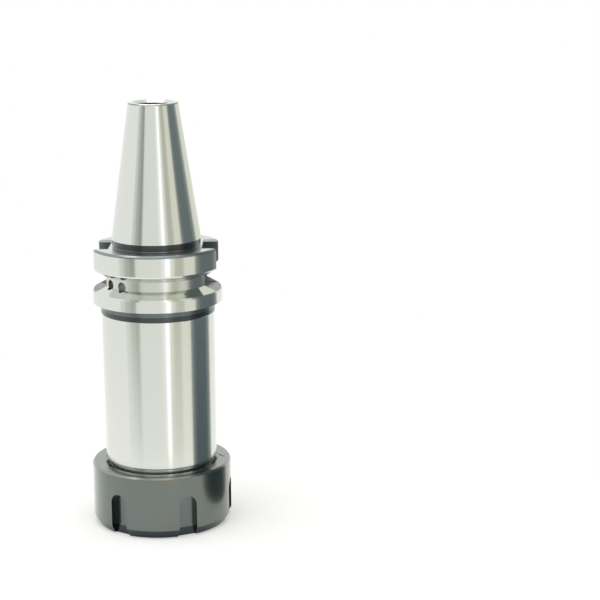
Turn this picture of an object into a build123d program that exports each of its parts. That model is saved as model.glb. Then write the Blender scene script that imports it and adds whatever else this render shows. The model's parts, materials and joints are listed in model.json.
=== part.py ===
"""Spring collet chuck with a 7/24 taper shank (size 30) and a seat for size 32 collets.

Millimetres. The chuck stands on its clamping nut with the taper up: the origin is on the
axis, in the plane of the nut's front face, +Z runs to the small end of the taper, and the
two drive slots of the flange open along +X and -X.
"""
import os
from math import cos, radians, sin, tan

from build123d import *

# ---- shank and flange: standard size 30 taper for automatic tool change ----
PROJECTION = 103.5            # nut face to gauge plane
SHANK_L = 48.4                # gauge plane to small end
GAUGE_R = 31.75 / 2
TAPER = 7 / 24                # change of diameter per length
SMALL_END_CHAMFER = 0.4
TAPER_RELIEF = 0.4            # the ground cone stops this far above the gauge plane
NECK_R = 15.65
FLANGE_R = 23.0
FLANGE_TOP = -2.0             # heights below are measured from the gauge plane
FLANGE_BOTTOM = -22.0
FLANGE_EDGE = 0.5
GROOVE_CENTRE = -13.7
GROOVE_ROOT_R = 19.0
GROOVE_MOUTH = 8.0            # width of the vee at the rim, with 30 degree flanks
GROOVE_EDGE = 0.4
SLOT_W = 16.1
SLOT_FLOOR = 16.3             # from the axis
SLOT_END = -17.4
SLOT_EDGE = 0.8
SLOT_CORNER = 0.3
BALANCE_R = 1.75
BALANCE_DEPTH = 4.0
BALANCE_ANGLES = (-144.5, -126.0)
BALANCE_Z = -14.3

# ---- body below the flange ----
COLLAR_R = 20.3
COLLAR_H = 4.2
BODY_R = 20.0
BODY_LOW = 24.0               # heights from here on are measured from the nut face
BODY_EDGE = 0.3
RELIEF_R = 19.1               # undercut at the core of the thread
THREAD_R = 19.5               # M40 x 1.5 drawn as its pitch cylinder
THREAD_TOP = 20.5
THREAD_EDGE = 0.8
NOSE_Z = 9.5

# ---- bores of the body ----
SEAT_HALF_ANGLE = 8.0
SEAT_TOP = 42.0
BACK_BORE_R = 11.2
BACK_BORE_TOP = 62.0
COOLANT_R = 4.25
DRAW_THREAD_R = 5.1           # M12 drawbar thread, drawn at its tapping drill
DRAW_THREAD_L = 24.0
PILOT_R = 6.25
PILOT_L = 6.0
MOUTH_R = 7.2
DRILL_POINT = 59.0            # half of the 118 degree point

# ---- clamping nut ----
NUT_R = 25.0
NUT_H = 22.5
NUT_TOP_EDGE = 0.6
NUT_FACE_R = 23.3
NUT_NOSE_H = 3.0
NUT_BORE_R = 19.55
NUT_LEAD_R = 20.5
NUT_SHOULDER = 8.8
NUT_POCKET_R = 17.0
LIP_R = 15.15
LIP_LOW = 4.15
LIP_HIGH = 6.1
WRENCH_SLOTS = 6
WRENCH_FIRST = -4.5           # polar angle of one wrench slot
WRENCH_W = 6.7
WRENCH_H = 15.1
WRENCH_FLOOR = 22.3           # from the axis
MARK_AT = (21.4, 1.6)         # middle of the short slanting line cut in the upper land
MARK_TURN = -57.5
MARK_L = 3.8
MARK_W = 0.5
MARK_DEPTH = 0.3

# ---- spring collet ----
COLLET_FACE = 0.6
COLLET_L = 40.0
COLLET_R = 16.5
COLLET_BORE_R = 10.0
COLLET_FACE_R = 13.9
COLLET_RING_R = 15.75
COLLET_GROOVE_R = 14.7
COLLET_GROOVE_TOP = 6.5
COLLET_CONE_LOW = 7.3
COLLET_SLITS = 8              # from each end
SLIT_W = 0.6
SLIT_REST = 5.0               # metal left at the closed end of a slit
NOSE_HALF_ANGLE = 30.0
SEAT_GAP = 0.05

GAUGE_Z = PROJECTION
TOP_Z = PROJECTION + SHANK_L


def revolved(points):
    """Solid of revolution about Z from a closed (radius, height) outline."""
    with BuildPart() as part:
        with BuildSketch(Plane.XZ):
            with BuildLine():
                Polyline(*points, close=True)
            make_face()
        revolve(axis=Axis.Z)
    return part.part


def taper_radius(z):
    """Radius of the 7/24 cone at a height above the nut face."""
    return GAUGE_R - (z - GAUGE_Z) * TAPER / 2


def shank_outline():
    """Taper and neck, from the small end down to the flange."""
    low = GAUGE_Z + TAPER_RELIEF
    end_r = taper_radius(TOP_Z)
    return [
        (end_r - SMALL_END_CHAMFER, TOP_Z),
        (end_r, TOP_Z - SMALL_END_CHAMFER),
        (taper_radius(low), low),
        (NECK_R, low),
        (NECK_R, GAUGE_Z + FLANGE_TOP),
    ]


def flange_outline():
    """Flange with the gripper vee; the flanks stand 30 degrees off the flange faces."""
    slope = tan(radians(30))
    mid = GAUGE_Z + GROOVE_CENTRE
    half_rim = GROOVE_MOUTH / 2
    half_root = half_rim - (FLANGE_R - GROOVE_ROOT_R) * slope
    top, low = GAUGE_Z + FLANGE_TOP, GAUGE_Z + FLANGE_BOTTOM
    run, drop = GROOVE_EDGE * cos(radians(30)), GROOVE_EDGE * sin(radians(30))
    return [
        (FLANGE_R - FLANGE_EDGE, top),
        (FLANGE_R, top - FLANGE_EDGE),
        (FLANGE_R, mid + half_rim + GROOVE_EDGE),
        (FLANGE_R - run, mid + half_rim - drop),
        (GROOVE_ROOT_R, mid + half_root),
        (GROOVE_ROOT_R, mid - half_root),
        (FLANGE_R - run, mid - half_rim + drop),
        (FLANGE_R, mid - half_rim - GROOVE_EDGE),
        (FLANGE_R, low),
    ]


def barrel_outline():
    """Collar, ground barrel, relief and thread, down to the nose."""
    low = GAUGE_Z + FLANGE_BOTTOM
    return [
        (COLLAR_R, low),
        (COLLAR_R, low - COLLAR_H + COLLAR_R - BODY_R),
        (BODY_R, low - COLLAR_H),
        (BODY_R, BODY_LOW + BODY_EDGE),
        (BODY_R - BODY_EDGE, BODY_LOW),
        (RELIEF_R, BODY_LOW),
        (RELIEF_R, THREAD_TOP + THREAD_R - RELIEF_R),
        (THREAD_R, THREAD_TOP),
        (THREAD_R, NOSE_Z + THREAD_EDGE),
        (THREAD_R - THREAD_EDGE, NOSE_Z),
    ]


def seat_radius(z):
    """Radius of the 8 degree seat; it clears the closed collet by a running gap."""
    gap = SEAT_GAP / cos(radians(SEAT_HALF_ANGLE))
    return COLLET_R + gap - (z - COLLET_CONE_LOW) * tan(radians(SEAT_HALF_ANGLE))


def bore_outline():
    """Inside of the body, from the collet seat up to the drawbar thread."""
    point = (BACK_BORE_R - COOLANT_R) / tan(radians(DRILL_POINT))
    thread_low = TOP_Z - PILOT_L - DRAW_THREAD_L
    thread_point = (DRAW_THREAD_R - COOLANT_R) / tan(radians(DRILL_POINT))
    return [
        (0, NOSE_Z - 1),
        (seat_radius(NOSE_Z - 1), NOSE_Z - 1),
        (seat_radius(SEAT_TOP), SEAT_TOP),
        (BACK_BORE_R, SEAT_TOP),
        (BACK_BORE_R, BACK_BORE_TOP),
        (COOLANT_R, BACK_BORE_TOP + point),
        (COOLANT_R, thread_low - thread_point),
        (DRAW_THREAD_R, thread_low),
        (DRAW_THREAD_R, TOP_Z - PILOT_L),
        (PILOT_R, TOP_Z - PILOT_L),
        (PILOT_R, TOP_Z - (MOUTH_R - PILOT_R)),
        (MOUTH_R, TOP_Z),
        (MOUTH_R, TOP_Z + 1),
        (0, TOP_Z + 1),
    ]


def drive_slot():
    """Cutter for the drive slot that opens along +X, with its broken edges."""
    half, reach = SLOT_W / 2, FLANGE_R + 3
    low, high = GAUGE_Z + SLOT_END, GAUGE_Z + FLANGE_TOP
    corner_x = (FLANGE_R ** 2 - half ** 2) ** 0.5 - SLOT_CORNER
    flare = half + reach - corner_x
    with BuildPart() as channel:
        with BuildSketch(Plane.XY.offset(low)):
            with BuildLine():
                Polyline((SLOT_FLOOR, -half), (corner_x, -half), (reach, -flare),
                         (reach, flare), (corner_x, half), (SLOT_FLOOR, half), close=True)
            make_face()
        extrude(amount=high - low + 1)
    with BuildPart() as top_edges:
        with BuildSketch(Plane.YZ.offset(SLOT_FLOOR)):
            with BuildLine():
                Polyline((-half, high - SLOT_EDGE), (half, high - SLOT_EDGE),
                         (half + SLOT_EDGE + 1, high + 1), (-half - SLOT_EDGE - 1, high + 1),
                         close=True)
            make_face()
        extrude(amount=reach - SLOT_FLOOR)
    return channel.part + top_edges.part


def balance_hole(angle):
    """Cutter for a radial balance hole in the root of the vee."""
    start = GROOVE_ROOT_R - BALANCE_DEPTH
    hole = Cylinder(BALANCE_R, FLANGE_R + 2 - start, align=(Align.CENTER, Align.CENTER, Align.MIN))
    place = Rot(0, 0, angle) * Pos(start, 0, GAUGE_Z + BALANCE_Z) * Rot(0, 90, 0)
    return place * hole


def holder_body():
    """Shank, flange, barrel and thread: one turned, milled and ground piece of steel."""
    outline = shank_outline() + flange_outline() + barrel_outline() + [(0, NOSE_Z), (0, TOP_Z)]
    body = revolved(outline) - revolved(bore_outline())
    for turn in (0, 180):
        body -= Rot(0, 0, turn) * drive_slot()
    for angle in BALANCE_ANGLES:
        body -= balance_hole(angle)
    return body


def wrench_slot():
    """Cutter for one wrench slot: a round-topped flat-bottomed cut, open at the face."""
    half = WRENCH_W / 2
    with BuildPart() as slot:
        with BuildSketch(Plane.YZ.offset(WRENCH_FLOOR)):
            with BuildLine():
                Polyline((half, WRENCH_H - half), (half, -1), (-half, -1), (-half, WRENCH_H - half))
                ThreePointArc((-half, WRENCH_H - half), (0, WRENCH_H), (half, WRENCH_H - half))
            make_face()
        extrude(amount=NUT_R + 1 - WRENCH_FLOOR)
    return slot.part


def clamping_nut():
    """Slotted clamping nut: thread bore, collet lip and the cone that presses the collet."""
    slope = tan(radians(NOSE_HALF_ANGLE))
    gap = SEAT_GAP / cos(radians(NOSE_HALF_ANGLE))
    mouth_r = COLLET_FACE_R + gap - COLLET_FACE * slope
    cone_top = LIP_LOW - 0.25
    lead = NUT_LEAD_R - NUT_BORE_R
    nut = revolved([
        (mouth_r, 0),
        (NUT_FACE_R, 0),
        (NUT_R, NUT_NOSE_H),
        (NUT_R, NUT_H - NUT_TOP_EDGE),
        (NUT_R - NUT_TOP_EDGE, NUT_H),
        (NUT_LEAD_R, NUT_H),
        (NUT_BORE_R, NUT_H - lead),
        (NUT_BORE_R, NUT_SHOULDER),
        (NUT_POCKET_R, NUT_SHOULDER),
        (NUT_POCKET_R, LIP_HIGH),
        (LIP_R, LIP_HIGH),
        (LIP_R, LIP_LOW),
        (mouth_r + cone_top * slope, LIP_LOW),
        (mouth_r + cone_top * slope, cone_top),
    ])
    for i in range(WRENCH_SLOTS):
        nut -= Rot(0, 0, WRENCH_FIRST + 360 / WRENCH_SLOTS * i) * wrench_slot()
    mark = Box(MARK_L, MARK_W, 2 * MARK_DEPTH)
    nut -= Pos(*MARK_AT, NUT_H) * Rot(0, 0, MARK_TURN) * mark
    return nut


def spring_collet():
    """Size 32 spring collet, slit from both ends, held by the lip of the nut."""
    slope = tan(radians(NOSE_HALF_ANGLE))
    ring_low = COLLET_FACE + (COLLET_RING_R - COLLET_FACE_R) / slope
    back_z = COLLET_FACE + COLLET_L
    back_r = COLLET_R - (back_z - COLLET_CONE_LOW) * tan(radians(SEAT_HALF_ANGLE))
    collet = revolved([
        (COLLET_BORE_R, COLLET_FACE),
        (COLLET_FACE_R, COLLET_FACE),
        (COLLET_RING_R, ring_low),
        (COLLET_GROOVE_R, ring_low),
        (COLLET_GROOVE_R, COLLET_GROOVE_TOP),
        (COLLET_R, COLLET_GROOVE_TOP),
        (COLLET_R, COLLET_CONE_LOW),
        (back_r, back_z),
        (COLLET_BORE_R, back_z),
    ])
    slit_l = COLLET_L - SLIT_REST
    step = 360 / COLLET_SLITS
    for i in range(COLLET_SLITS):
        for turn, low in ((0, COLLET_FACE - 1), (step / 2, COLLET_FACE + SLIT_REST)):
            slit = Box(COLLET_R + 2, SLIT_W, slit_l + 1,
                       align=(Align.MIN, Align.CENTER, Align.MIN))
            collet -= Rot(0, 0, step * i + turn) * Pos(0, 0, low) * slit
    return collet


os.makedirs("parts", exist_ok=True)
for name, make in (("holder_body", holder_body), ("clamping_nut", clamping_nut),
                   ("spring_collet", spring_collet)):
    shape = make()
    box = shape.bounding_box()
    print(name, "volume %.0f mm3" % shape.volume, "solids", len(shape.solids()),
          "z %.2f..%.2f" % (box.min.Z, box.max.Z))
    export_step(shape, f"parts/{name}.step")
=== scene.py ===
# %% [markdown]
# # A collet chuck on its nut
# The chuck is one long piece of ground steel with a dark slotted nut on its nose. Its shapes
# are all turned, milled and ground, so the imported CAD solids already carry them. What is left
# to learn here is finish: bright ground steel is nearly a mirror, so it is lit by giving it
# the right things to reflect.

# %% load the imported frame
import json
import math

import bpy
from mathutils import Matrix, Vector


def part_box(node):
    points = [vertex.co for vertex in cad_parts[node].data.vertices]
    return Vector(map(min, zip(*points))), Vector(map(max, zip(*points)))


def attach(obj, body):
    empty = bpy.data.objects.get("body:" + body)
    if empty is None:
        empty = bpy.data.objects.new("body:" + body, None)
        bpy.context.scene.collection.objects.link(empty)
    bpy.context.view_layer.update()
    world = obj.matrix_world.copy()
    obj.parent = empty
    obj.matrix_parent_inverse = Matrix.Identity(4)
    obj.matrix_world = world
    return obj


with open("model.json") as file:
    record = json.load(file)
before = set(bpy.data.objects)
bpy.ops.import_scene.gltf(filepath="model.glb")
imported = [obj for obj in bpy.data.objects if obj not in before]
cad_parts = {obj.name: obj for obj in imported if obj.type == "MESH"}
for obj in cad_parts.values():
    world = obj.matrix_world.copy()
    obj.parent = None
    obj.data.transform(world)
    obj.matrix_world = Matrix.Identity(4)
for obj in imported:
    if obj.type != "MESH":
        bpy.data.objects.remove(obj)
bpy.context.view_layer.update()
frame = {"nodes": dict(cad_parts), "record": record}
nodes = frame["nodes"]
MM = 0.001

# %% [markdown]
# ## Where things are
# Every place is read from the frame, so a change in the CAD moves the finish with it. The
# mounts give the height of the flange face and of the gauge plane, where the taper is
# 31.75 mm across, and the nodes' boxes give the rest.

# %% heights taken from the frame
FLANGE_THICK = 20 * MM

mounts = {m["name"]: m for m in frame["record"]["mounts"]}
flange_face = mounts["flange_face"]["pos_m"][2]
gauge_plane = mounts["taper_shank"]["pos_m"][2]
flange_low = flange_face - FLANGE_THICK
body_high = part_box("holder_body")[1]
nut_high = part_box("clamping_nut")[1]
print("flange from %.4f to %.4f" % (flange_low, flange_face))
print("gauge plane %.4f top %.4f" % (gauge_plane, body_high.z))

# %% [markdown]
# ## The camera
# A long lens a little above the chuck, looking down about thirteen degrees. A long lens keeps
# the two edges of the barrel nearly parallel, as product pictures do.

# %% camera
CAM_SIDE, CAM_BACK, CAM_RISE = 50.72 * MM, 602.8 * MM, 115.2 * MM
CAM_PITCH, CAM_ROLL = math.radians(12.887), math.radians(0.390)
SENSOR_WIDTH = 36.0          # mm, the width of a full-frame sensor
LENS_OVER_WIDTH = 2.8863
SIGHT_END = 20.0             # metres, past the far edge of the paper

cam_data = bpy.data.cameras.new("camera")
cam_data.sensor_width = SENSOR_WIDTH
cam_data.lens = SENSOR_WIDTH * LENS_OVER_WIDTH
cam_data.clip_end = SIGHT_END
camera = bpy.data.objects.new("camera", cam_data)
bpy.context.scene.collection.objects.link(camera)
level_right = Vector((1, 0, 0))
level_up = Vector((0, math.sin(CAM_PITCH), math.cos(CAM_PITCH)))
back = Vector((0, -math.cos(CAM_PITCH), math.sin(CAM_PITCH)))
right = level_right * math.cos(CAM_ROLL) - level_up * math.sin(CAM_ROLL)
up = level_right * math.sin(CAM_ROLL) + level_up * math.cos(CAM_ROLL)
turn = Matrix((right, up, back)).transposed().to_4x4()
camera.matrix_world = Matrix.Translation((CAM_SIDE, -CAM_BACK, gauge_plane + CAM_RISE)) @ turn
bpy.context.scene.camera = camera
bpy.context.scene.view_settings.view_transform = "Standard"
print("lens %.1f mm" % cam_data.lens)

# %% [markdown]
# ## Three helpers
# Colours are chosen as sRGB hex values, the way a swatch is read, and Blender's sockets want
# linear light, so one function converts. One more function adds a shader node with its
# settings and its inputs, which keeps every material a short list of nodes. An input is
# written by its name, or as _0, _1 and so on where names repeat. The third starts a material.

# %% colour, node and material helpers
RGBA = {"data_type": "RGBA"}


def linear(hex_colour):
    """An sRGB hex colour as linear RGBA."""
    parts = [int(hex_colour[i:i + 2], 16) / 255 for i in (1, 3, 5)]
    return tuple(c / 12.92 if c <= 0.04045 else ((c + 0.055) / 1.055) ** 2.4 for c in parts) + (1,)


def add(tree, kind, settings=None, **inputs):
    """Adds a node. Each input takes a value, a socket, or a node, which gives its first output."""
    node = tree.nodes.new(kind)
    for key, value in (settings or {}).items():
        setattr(node, key, value)
    for key, value in inputs.items():
        key = int(key[1:]) if key[0] == "_" else key.replace("_", " ")
        if isinstance(value, bpy.types.Node):
            value = value.outputs[0]
        if isinstance(value, bpy.types.NodeSocket):
            tree.links.new(value, node.inputs[key])
        else:
            node.inputs[key].default_value = value
    return node


def new_material(name):
    """An empty node material, with its tree and its object coordinates."""
    mat = bpy.data.materials.new(name)
    mat.use_nodes = True
    mat.node_tree.nodes.clear()
    place = add(mat.node_tree, "ShaderNodeTexCoord").outputs["Object"]
    return mat, mat.node_tree, place


print("white is", tuple(round(c, 3) for c in linear("#FFFFFF")))

# %% [markdown]
# ## The room
# The chuck stands on white paper, under one large softbox, in a white room. The world gives
# the room: it is a plain white to the lens and in reflections, and a gentler fill on matt
# things. The softbox hangs a metre above and a little to the left, and its bright face is
# what the small bevels pick up as thin bright lines.

# %% white room and softbox
ROOM_FILL = 0.40
BOX_X, BOX_Y, BOX_FACE = 0.93, 0.80, 2.4          # size in metres, brightness of its face
BOX_PLACE = (-0.165, -0.10, 1.10)


def shown(tree):
    """1 for the rays that show a thing: to the lens, in a reflection or through glass."""
    ray = add(tree, "ShaderNodeLightPath")
    seen = add(tree, "ShaderNodeMath", {"operation": "MAXIMUM"},
               _0=ray.outputs["Is Camera Ray"], _1=ray.outputs["Is Glossy Ray"])
    return add(tree, "ShaderNodeMath", {"operation": "MAXIMUM"},
               _0=seen, _1=ray.outputs["Is Transmission Ray"])


world = bpy.data.worlds.new("white_room")
bpy.context.scene.world = world
world.use_nodes = True
tree = world.node_tree
tree.nodes.clear()
fill = add(tree, "ShaderNodeBackground", Color=linear("#FAFAF6"), Strength=ROOM_FILL)
white = add(tree, "ShaderNodeBackground", Color=linear("#FFFFFF"), Strength=1.0)
both = add(tree, "ShaderNodeMixShader", _0=shown(tree), _1=fill, _2=white)
add(tree, "ShaderNodeOutputWorld", Surface=both)

softbox = bpy.data.lights.new("softbox", "AREA")
softbox.shape, softbox.size, softbox.size_y = "RECTANGLE", BOX_X, BOX_Y
softbox.energy = math.pi * BOX_X * BOX_Y * BOX_FACE
lamp = bpy.data.objects.new("softbox", softbox)
lamp.location = BOX_PLACE
bpy.context.scene.collection.objects.link(lamp)
print("room fill", ROOM_FILL, "softbox %.2f W" % softbox.energy)

# %% [markdown]
# ## The paper
# White paper is matt, so it is a plain diffuse colour. A little light of its own, for the
# lens and for reflections only, brings the open paper up to white and keeps the soft shadow
# where the nut stands on it. Further out the sheet turns to an even white, so that it runs
# into the room with no edge, the way a sweep of paper does. It lies a hair below the nut, so
# that the two faces don't fight for the same place.

# %% paper floor
PAPER_SIZE, PAPER_GLOW = 12.0, 0.38
PAPER_DROP = 0.02 * MM
PAPER_NEAR, PAPER_FAR = 60 * MM, 250 * MM          # where its even white begins and is full

bpy.ops.mesh.primitive_plane_add(size=PAPER_SIZE, location=(0, 0, -PAPER_DROP))
paper = bpy.context.object
paper.name = "paper_floor"
mat, tree, place = new_material("matt_white_paper")
glow = add(tree, "ShaderNodeMath", {"operation": "MULTIPLY"}, _0=shown(tree), _1=PAPER_GLOW)
matt = add(tree, "ShaderNodeBsdfDiffuse", Color=linear("#F7F8F5"), Roughness=0.0)
lift = add(tree, "ShaderNodeEmission", Color=linear("#FFFFFF"), Strength=glow)
near = add(tree, "ShaderNodeAddShader", _0=matt, _1=lift)
far = add(tree, "ShaderNodeEmission", Color=linear("#FFFFFF"), Strength=1.0)
distance = add(tree, "ShaderNodeVectorMath", {"operation": "LENGTH"}, _0=place).outputs["Value"]
away = add(tree, "ShaderNodeMapRange", Value=distance, From_Min=PAPER_NEAR, From_Max=PAPER_FAR)
sweep = add(tree, "ShaderNodeMixShader", _0=away, _1=near, _2=far)
add(tree, "ShaderNodeOutputMaterial", Surface=sweep)
paper.data.materials.append(mat)
print("paper", PAPER_SIZE, "m")

# %% [markdown]
# ## Cards for the steel to reflect
# A bright cylinder shows its surroundings squeezed into upright stripes, so its look is
# mostly a choice of cards. Photographers stand them where the lens can't see them. Here they
# are bent sheets on one circle round the chuck, left out of every ray but the glossy ones.
# Each card goes from one grey at its foot to another at its head height, and is even above
# that. One more card is raised behind on the right, so high that only the taper shows it.

# %% reflection cards
CARD_CIRCLE = 100 * MM
CARD_FOOT, CARD_HEAD, CARD_TOP = 0.5 * MM, 85 * MM, 700 * MM
RAISED_FOOT, RAISED_GREY = 74 * MM, "#EBEFE3"
SHEET_STEP = 3                  # degrees, the flats that a bent sheet is made of


def upright_sheet(name, radius, low, high, start, end, centre=(0, 0)):
    """An upright sheet bent round a centre, between two angles in degrees."""
    steps = max(2, round(abs(end - start) / SHEET_STEP))
    verts, faces = [], []
    for i in range(steps + 1):
        a = math.radians(start + (end - start) * i / steps)
        x, y = centre[0] + radius * math.cos(a), centre[1] + radius * math.sin(a)
        verts += [(x, y, low), (x, y, high)]
    for i in range(steps):
        faces.append((2 * i, 2 * i + 2, 2 * i + 3, 2 * i + 1))
    mesh = bpy.data.meshes.new(name)
    mesh.from_pydata(verts, [], faces)
    sheet = bpy.data.objects.new(name, mesh)
    bpy.context.scene.collection.objects.link(sheet)
    sheet.visible_camera = sheet.visible_diffuse = sheet.visible_shadow = False
    sheet.visible_transmission = sheet.visible_volume_scatter = False
    return sheet


def glowing(name, foot, head, strength=1.0):
    """A card's material: its own light, from one grey at the foot to another at the head."""
    mat, tree, place = new_material(name)
    height = add(tree, "ShaderNodeSeparateXYZ", Vector=place).outputs["Z"]
    part = add(tree, "ShaderNodeMapRange", Value=height, From_Min=CARD_FOOT, From_Max=CARD_HEAD)
    grey = add(tree, "ShaderNodeMix", RGBA, _0=part, _6=linear(foot), _7=linear(head))
    light = add(tree, "ShaderNodeEmission", Color=grey.outputs[2], Strength=strength)
    add(tree, "ShaderNodeOutputMaterial", Surface=light)
    return mat


CARDS = (     # name, from and to in degrees round the axis, foot grey, head grey, strength
    ("left_fade", -147, -138, "#FFFFFF", "#DDE1DB", 1.0),
    ("left_gap_soft", -138, -129, "#FAFCF6", "#B9BEB7", 1.0),
    ("left_gap_dark", -129, -120, "#F2F4EE", "#A1A6A0", 1.0),
    ("front_card", -120, -79, "#FBFCF8", "#F2F4F0", 1.0),
    ("strip_edge", -79, -72.5, "#FBFCF8", "#FFFFFF", 1.05),
    ("strip_light", -72.5, -65.5, "#FFFFFF", "#FFFFFF", 1.6),
    ("warm_card", -65.5, -58, "#EFEFE4", "#F4F3EC", 1.0),
    ("right_gap", -58, -43, "#F0F0E4", "#C8C8BC", 1.0),
    ("right_card", -43, -22, "#FFFFF8", "#EDECE1", 1.0),
)
for name, start, end, foot, head, strength in CARDS:
    card = upright_sheet(name, CARD_CIRCLE, CARD_FOOT, CARD_TOP, start, end)
    card.data.materials.append(glowing(name, foot, head, strength))
raised = upright_sheet("raised_card", CARD_CIRCLE, RAISED_FOOT, CARD_TOP, 22, 75)
raised.data.materials.append(glowing("raised_card", RAISED_GREY, RAISED_GREY))
print("cards:", [c[0] for c in CARDS], "and", raised.name)

# %% [markdown]
# ## The grey post
# A round grey post stands close on the right, where another object throws its dark reflection
# on the steel. It takes no lamp light: it glows with its own grey, and its shade is painted
# into that grey. It is darkest along one upright line that faces the chuck, lighter to both
# sides of it, and a little lighter towards its head, as a thing standing in shade is.

# %% post in shade
POST_AT, POST_RADIUS, POST_HIGH = (80.5 * MM, 0.5 * MM), 34.6 * MM, 200 * MM
POST_DARKEST = -7 * MM                          # where the dark line is, across the post
SHADE_NEAR, SHADE_FAR = 10 * MM, 25 * MM        # how far from that line it is dark and light
SHADE_TOP = 150 * MM

post = upright_sheet("grey_post", POST_RADIUS, 0, POST_HIGH, 0, 360, POST_AT)
mat, tree, place = new_material("grey_post_glow_painted_shade")
x, y, z = add(tree, "ShaderNodeSeparateXYZ", Vector=place).outputs
# Painted shade: the glow is lighter towards the head, and lighter to both sides of the dark line.
height = add(tree, "ShaderNodeMapRange", Value=z, From_Max=SHADE_TOP)
shade = add(tree, "ShaderNodeMix", RGBA, _0=height, _6=linear("#515E63"), _7=linear("#727D80"))
across = add(tree, "ShaderNodeMath", {"operation": "SUBTRACT"}, _0=y, _1=POST_DARKEST)
across = add(tree, "ShaderNodeMath", {"operation": "ABSOLUTE"}, _0=across)
side = add(tree, "ShaderNodeMapRange", Value=across, From_Min=SHADE_NEAR, From_Max=SHADE_FAR)
grey = add(tree, "ShaderNodeMix", RGBA, _0=side, _6=shade.outputs[2], _7=linear("#A3A9A6"))
light = add(tree, "ShaderNodeEmission", Color=grey.outputs[2])
add(tree, "ShaderNodeOutputMaterial", Surface=light)
post.data.materials.append(mat)
print("post", post.name, "%.0f mm across" % (2 * POST_RADIUS / MM))

# %% [markdown]
# ## Ground steel, with black oxide left where the wheel doesn't reach
# The body is case-hardened alloy steel. It was blackened after hardening and then ground, so
# every ground face is bright, and the places that the wheel doesn't reach stay dark:
# - black in the neck under the taper, on the collar, on the nose, in the drawbar hole and at
#   the ends of the drive slots;
# - worn to a dark grey in the drive slots, where the spindle's keys go in and out;
#   the same dark grey on top of the collar is a painted highlight, lighter than its black;
# - rubbed to a mid grey along the bevel of the flange, the edges of the slots and the rim of
#   the small end, where hands and tool racks touch it.
#
# The root of the gripper vee with its balance holes and the low walls of the slots are bright,
# but only turned, drilled and milled, so they are duller. It is one piece of steel, so it gets
# one material, with masks worked out from height and radius. Vertex paint would do it too, but
# the mesh comes from the CAD and stays as it is, and a mask in coordinates is as sharp as the
# real edge of a face.

# %% a mask for any set of zones
def zone_mask(tree, place, zones):
    """1 inside any of the zones. A zone is limits on x, y, z or r, the distance from the axis."""
    x, y, z = add(tree, "ShaderNodeSeparateXYZ", Vector=place).outputs
    flat = add(tree, "ShaderNodeCombineXYZ", X=x, Y=y)
    measure = {
        "x": add(tree, "ShaderNodeMath", {"operation": "ABSOLUTE"}, _0=x),
        "y": add(tree, "ShaderNodeMath", {"operation": "ABSOLUTE"}, _0=y),
        "z": z,
        "r": add(tree, "ShaderNodeVectorMath", {"operation": "LENGTH"}, _0=flat).outputs["Value"],
    }
    total = 0.0
    for zone in zones:
        here = 1.0
        for name, (low, high) in zone.items():
            inside = add(tree, "ShaderNodeMath", {"operation": "COMPARE"},
                         _0=measure[name], _1=(low + high) / 2, _2=(high - low) / 2)
            here = add(tree, "ShaderNodeMath", {"operation": "MULTIPLY"}, _0=here, _1=inside)
        total = add(tree, "ShaderNodeMath", {"operation": "MAXIMUM"}, _0=total, _1=here)
    return total


def span(start, low, high):
    """Limits in metres, from two distances in millimetres above a start."""
    return start + low * MM, start + high * MM


print("1 to 2 mm above the flange face is %.4f to %.4f" % span(flange_face, 1, 2))

# %% [markdown]
# Each zone below is named for its place on the body. Its heights are counted from the flange
# or from the top of the shank. A zone ends a hair short of a face that isn't part of it, and
# one with no outer limit goes on to BEYOND.

# %% zones of the body
HAIR = 0.03                     # mm
NECK_R = 15.8                   # mm
COLLAR_R = (20.05, 22.6)        # mm
SLOT_HALF = 8.06                # mm, half the width of a drive slot
BEYOND = 1                      # metres, past everything
SLOT_FLOOR_X = (16.28 * MM, BEYOND)
SHANK_TOP, FACE, UNDER = body_high.z, flange_face, flange_low

NECK = {"z": (FACE + HAIR * MM, gauge_plane + 0.38 * MM), "r": span(0, 0, NECK_R)}
COLLAR = {"z": span(UNDER, -4.15, -2.2), "r": span(0, *COLLAR_R)}
DRAWBAR_HOLE = {"z": (SHANK_TOP / 2, SHANK_TOP - HAIR * MM), "r": span(0, 0, 6.3)}
NOSE_THREAD = {"z": span(0, 0, 20.6), "r": span(0, 18.5, 20)}
SLOT_ENDS = {"z": span(UNDER, 4.5, 4.7), "x": SLOT_FLOOR_X, "y": span(0, 0, 8.02)}
BLACK = (NECK, COLLAR, DRAWBAR_HOLE, NOSE_THREAD, SLOT_ENDS)

# The top of the collar, where the lighter grey is a painted highlight.
COLLAR_TOP = {"z": span(UNDER, -2.2, HAIR), "r": span(0, *COLLAR_R)}
DRIVE_SLOTS = {"z": (UNDER + 4.6 * MM, BEYOND), "x": SLOT_FLOOR_X, "y": span(0, 0, SLOT_HALF)}
KEY_WEAR_AND_COLLAR_HIGHLIGHT = (COLLAR_TOP, DRIVE_SLOTS)

SMALL_END = {"z": span(SHANK_TOP, -0.5, -HAIR), "r": span(0, 8.5, 20)}
BEVEL = {"z": span(FACE, -0.95, -HAIR), "r": ((22.5 + HAIR) * MM, BEYOND)}
SLOT_EDGES = {"z": span(FACE, -0.83, -HAIR), "x": SLOT_FLOOR_X, "y": span(0, 0, 8.9)}
RUBBED = (SMALL_END, BEVEL, SLOT_EDGES)

TOP_FACE = {"z": span(FACE, -HAIR, HAIR), "r": span(0, NECK_R, 22.6)}
VEE_ROOT = {"z": span(UNDER, 4, 12), "r": span(0, 12, 19.02)}
VEE_FLANKS = {"z": span(UNDER, 4.3, 12.3), "r": span(0, 19.05, 22.7)}
LOW_WALLS = {"z": span(UNDER, 4.7, 9), "x": SLOT_FLOOR_X, "y": span(0, 7.9, SLOT_HALF)}
print("%d black zones, %d worn, %d rubbed" % (len(BLACK), len(KEY_WEAR_AND_COLLAR_HIGHLIGHT), len(RUBBED)))

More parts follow.
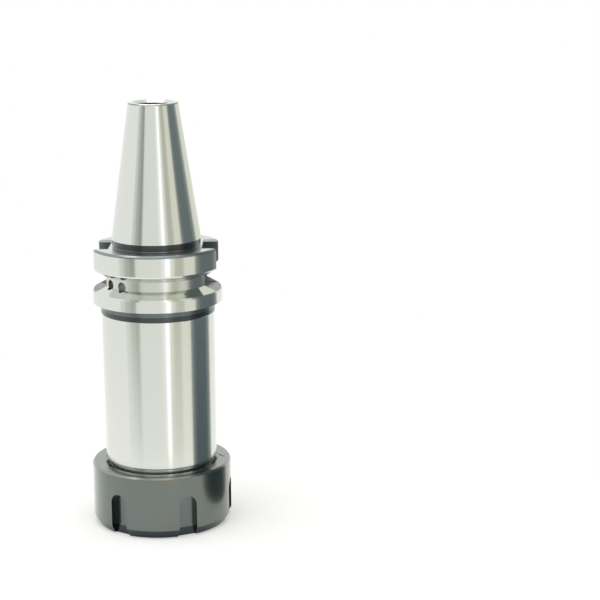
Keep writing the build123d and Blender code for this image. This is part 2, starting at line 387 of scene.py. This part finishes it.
# %% [markdown]
# A wheel leaves fine rings round the work, a few hundredths of a millimetre apart. They are
# too fine to show here, so they are drawn a quarter of a millimetre apart and very shallow.
# What the eye does see of them is how they spread a reflection: along the axis, across the
# rings, and hardly at all around it. That is the anisotropy, with its tangent turned a
# quarter, from around the axis to along it.

# %% ground steel and black oxide
WHEEL_PITCH = 0.25 * MM
WHEEL_MARKS, MARK_DEPTH = 0.05, 0.01 * MM          # strength of the bump, and its depth
SMEAR_SIZE, SMEAR_SPREAD = 9 * MM, 0.04            # oil smears, and what they do to roughness
MOTTLE_SIZE, MOTTLE_SPREAD = 1.5 * MM, 0.06        # the same for uneven oxide


def ring_marks(tree, place, pitch, strength):
    """Fine rings round the axis: noise squeezed along Z, and the bump it makes."""
    squeezed = add(tree, "ShaderNodeMapping", Vector=place, Scale=(4, 4, 1 / pitch))
    marks = add(tree, "ShaderNodeTexNoise", Vector=squeezed, Scale=1.0, Detail=3.0, Roughness=0.6)
    bump = add(tree, "ShaderNodeBump", Strength=strength, Distance=MARK_DEPTH, Height=marks)
    return marks, bump


def ground_steel(tree, place, light_tone, dark_tone, rough, pitch=WHEEL_PITCH):
    """Ground steel: metallic, spread across its ring marks, with faint smears of oil."""
    marks, bump = ring_marks(tree, place, pitch, WHEEL_MARKS)
    smears = add(tree, "ShaderNodeTexNoise", Vector=place, Scale=1 / SMEAR_SIZE, Detail=4.0)
    polish = add(tree, "ShaderNodeMapRange", Value=smears,
                 To_Min=rough - SMEAR_SPREAD, To_Max=rough + SMEAR_SPREAD)
    tone = add(tree, "ShaderNodeMix", RGBA, _0=marks, _6=linear(light_tone), _7=linear(dark_tone))
    around = add(tree, "ShaderNodeTangent", {"direction_type": "RADIAL", "axis": "Z"})
    return add(tree, "ShaderNodeBsdfPrincipled", Base_Color=tone.outputs[2], Metallic=1.0,
               Roughness=polish, Anisotropic=0.6, Anisotropic_Rotation=0.25, Normal=bump,
               Tangent=around)


def black_oxide(tree, place, light_tone, dark_tone, rough):
    """Black oxide: a thin dark layer grown on the steel, a little oily and a little uneven."""
    mottle = add(tree, "ShaderNodeTexNoise", Vector=place, Scale=1 / MOTTLE_SIZE, Detail=5.0)
    tone = add(tree, "ShaderNodeMix", RGBA, _0=mottle, _6=linear(light_tone), _7=linear(dark_tone))
    polish = add(tree, "ShaderNodeMapRange", Value=mottle,
                 To_Min=rough - MOTTLE_SPREAD, To_Max=rough + MOTTLE_SPREAD)
    return add(tree, "ShaderNodeBsdfPrincipled", Base_Color=tone.outputs[2], Metallic=0.85,
               Roughness=polish, Coat_Weight=0.6, Coat_Roughness=0.15)


def dress(node, mat):
    """Gives a CAD node one material in place of its own."""
    nodes[node].data.materials.clear()
    nodes[node].data.materials.append(mat)
    print(node, "wears", mat.name)


print("wheel marks drawn %.2f mm apart" % (WHEEL_PITCH / MM))

# %% body: ground steel with black oxide in its corners
mat, tree, place = new_material("ground_alloy_steel_with_black_oxide")
skin = ground_steel(tree, place, "#E0E2DC", "#D8DAD4", 0.17)
FINISHES = (     # zones, what makes their finish, its two tones and its roughness
    ((VEE_FLANKS,), ground_steel, "#DEE0DA", "#D8DAD4", 0.12),
    ((TOP_FACE,), ground_steel, "#CFD1CC", "#C6C8C3", 0.20),
    ((VEE_ROOT,), ground_steel, "#D4D7D0", "#CACDC6", 0.26),
    # In the drive slots this grey is wear; on top of the collar it is a painted highlight.
    (KEY_WEAR_AND_COLLAR_HIGHLIGHT, black_oxide, "#6E7779", "#5E6668", 0.30),
    (RUBBED, black_oxide, "#8A9395", "#7D8688", 0.30),
    (BLACK, black_oxide, "#474E50", "#33393B", 0.32),
    ((LOW_WALLS,), ground_steel, "#CFD1CC", "#C6C8C3", 0.26),
)
for zones, finish, light_tone, dark_tone, rough in FINISHES:
    here = zone_mask(tree, place, zones)
    layer = finish(tree, place, light_tone, dark_tone, rough)
    skin = add(tree, "ShaderNodeMixShader", _0=here, _1=skin, _2=layer)
add(tree, "ShaderNodeOutputMaterial", Surface=skin)
dress("holder_body", mat)

# %% [markdown]
# ## The nut
# The nut is turned steel with a smooth black oxide finish and a film of oil. The oil gives it
# a soft gloss, brighter towards its edges, and the oxide shows faint straw and violet tints
# where the layer is thinner. The bevel at its front and the walls of the milled wrench slots
# hold less oil on show and are darker. On the front bevel that dark is painted shade, standing
# for the dark reflection of the shaded paper just under the nut. Its upper rim is painted a
# lighter grey all round, a painted highlight for the bright line along that edge.

# %% nut: tints and zones
TINT_SIZE = 7 * MM
TINTS = ((0.35, "#66706E"), (0.50, "#68706A"), (0.62, "#696F69"), (0.69, "#726E62"),
         (0.75, "#696C69"))
NUT_NOSE = 3.0 * MM             # height of the front bevel
NUT_R = 25.0                    # mm
SLOT_RISE = (NUT_NOSE - 1 * MM, nut_high.z - 5 * MM)

# The front bevel, whose darker colour below is painted shade.
NOSE = {"z": (-1 * MM, NUT_NOSE - HAIR * MM)}
SLOT_WALLS = {"z": SLOT_RISE, "r": span(0, 22.62, 24.92)}
SLOT_FLOORS = {"z": SLOT_RISE, "r": span(0, 21, 22.62)}
# The upper rim, painted lighter all round as a painted highlight.
NUT_RIM = {"z": span(nut_high.z, -0.6, -HAIR), "r": span(0, 24.4, NUT_R - HAIR)}
print("wrench slots masked from %.4f to %.4f" % SLOT_RISE)

# %% nut: oiled black oxide
TURNED_PITCH, TURNED_MARKS = 0.4 * MM, 0.03

mat, tree, place = new_material("oiled_black_oxide_steel")
patch = add(tree, "ShaderNodeTexNoise", Vector=place, Scale=1 / TINT_SIZE, Detail=2.0)
tints = add(tree, "ShaderNodeValToRGB", Fac=patch)
stops = tints.color_ramp.elements
for i, (at, colour) in enumerate(TINTS):
    stop = stops[i] if i < len(stops) else stops.new(at)
    stop.position, stop.color = at, linear(colour)
tone = tints.outputs[0]
# Painted shade: the front bevel is darkened to stand for the dark reflection of the shaded paper
# under the nut. The slot walls share its darker colour and thinner oil.
nose_shade_and_slot_walls = zone_mask(tree, place, (NOSE, SLOT_WALLS))
# Three tones over the tints: the slot floors, the darker nose and slot walls, and the rim's
# painted highlight.
for here, colour in ((zone_mask(tree, place, (SLOT_FLOORS,)), "#5F6664"),
                     (nose_shade_and_slot_walls, "#3A4144"),
                     (zone_mask(tree, place, (NUT_RIM,)), "#8E938F")):
    tone = add(tree, "ShaderNodeMix", RGBA, _0=here, _6=tone, _7=linear(colour)).outputs[2]
marks, bump = ring_marks(tree, place, TURNED_PITCH, TURNED_MARKS)
polish = add(tree, "ShaderNodeMapRange", Value=marks, To_Min=0.20, To_Max=0.28)
film = add(tree, "ShaderNodeMapRange", Value=nose_shade_and_slot_walls, To_Min=0.9, To_Max=0.25)
oiled = add(tree, "ShaderNodeBsdfPrincipled", Base_Color=tone, Metallic=1.0,
            Roughness=polish, Normal=bump, Coat_Weight=film, Coat_Roughness=0.12)
add(tree, "ShaderNodeOutputMaterial", Surface=oiled)
dress("clamping_nut", mat)

# %% [markdown]
# ## The collet
# The collet is spring steel, ground all over and left bright. It is inside the nut, and shows
# only from below and through the nut's mouth.

# %% collet: fine ground spring steel
FINE_PITCH = 0.2 * MM

mat, tree, place = new_material("fine_ground_spring_steel")
spring = ground_steel(tree, place, "#D2D3CE", "#C4C6C2", 0.20, FINE_PITCH)
add(tree, "ShaderNodeOutputMaterial", Surface=spring)
dress("spring_collet", mat)

# %% [markdown]
# ## Threads
# The nose has an M40 x 1.5 thread for the nut, and the small end an M12 one for the drawbar.
# A thread is a ridge wound round a cylinder. It could be a bump, but it shows in profile when
# the nut is unscrewed, so it is a mesh: one narrow flat-topped section, carried up a helix. Its
# height fades to nothing at both ends, as the runout of a real thread does.

# %% a ridge wound up a helix
PER_TURN = 72                             # steps in one turn
RIDGE_FOOT, RIDGE_CREST = 0.44, 0.09      # half widths of the ridge, as parts of the pitch


def thread_ridge(name, root, crest, pitch, low, high, mat):
    """A helical ridge from the root radius to the crest radius, between two heights."""
    steps = round((high - low) / pitch * PER_TURN)
    fade = PER_TURN // 2
    verts, faces = [], []
    for i in range(steps + 1):
        a, z = 2 * math.pi * i / PER_TURN, low + (high - low) * i / steps
        grown = min(1, i / fade, (steps - i) / fade)
        top = root + (crest - root) * grown
        for r, dz in ((root, -RIDGE_FOOT), (top, -RIDGE_CREST),
                      (top, RIDGE_CREST), (root, RIDGE_FOOT)):
            verts.append((r * math.cos(a), r * math.sin(a), z + dz * pitch))
    for i in range(steps):
        for k in range(4):
            n = (k + 1) % 4
            faces.append((4 * i + k, 4 * i + n, 4 * i + 4 + n, 4 * i + 4 + k))
    faces += [(3, 2, 1, 0), tuple(4 * steps + k for k in range(4))]
    mesh = bpy.data.meshes.new(name)
    mesh.from_pydata(verts, [], faces)
    mesh.materials.append(mat)
    ridge = bpy.data.objects.new(name, mesh)
    bpy.context.scene.collection.objects.link(ridge)
    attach(ridge, "holder")
    print(name, len(faces), "faces")


print("a ridge has", PER_TURN, "steps to a turn")

# %% the two threads
mat, tree, place = new_material("cut_thread_black_oxide")
cut = black_oxide(tree, place, "#5B6163", "#3C4244", 0.28)
add(tree, "ShaderNodeOutputMaterial", Surface=cut)
THREADS = (     # name, root radius, crest radius and pitch in mm, and the heights of its ends
    ("nose_thread", 19.45, 19.92, 1.5, span(0, 10.9, 19.8)),
    ("drawbar_thread", 5.14, 4.82, 1.75, span(body_high.z, -29, -7.2)),
)
for name, root, crest, pitch, (low, high) in THREADS:
    thread_ridge(name, root * MM, crest * MM, pitch * MM, low, high, mat)
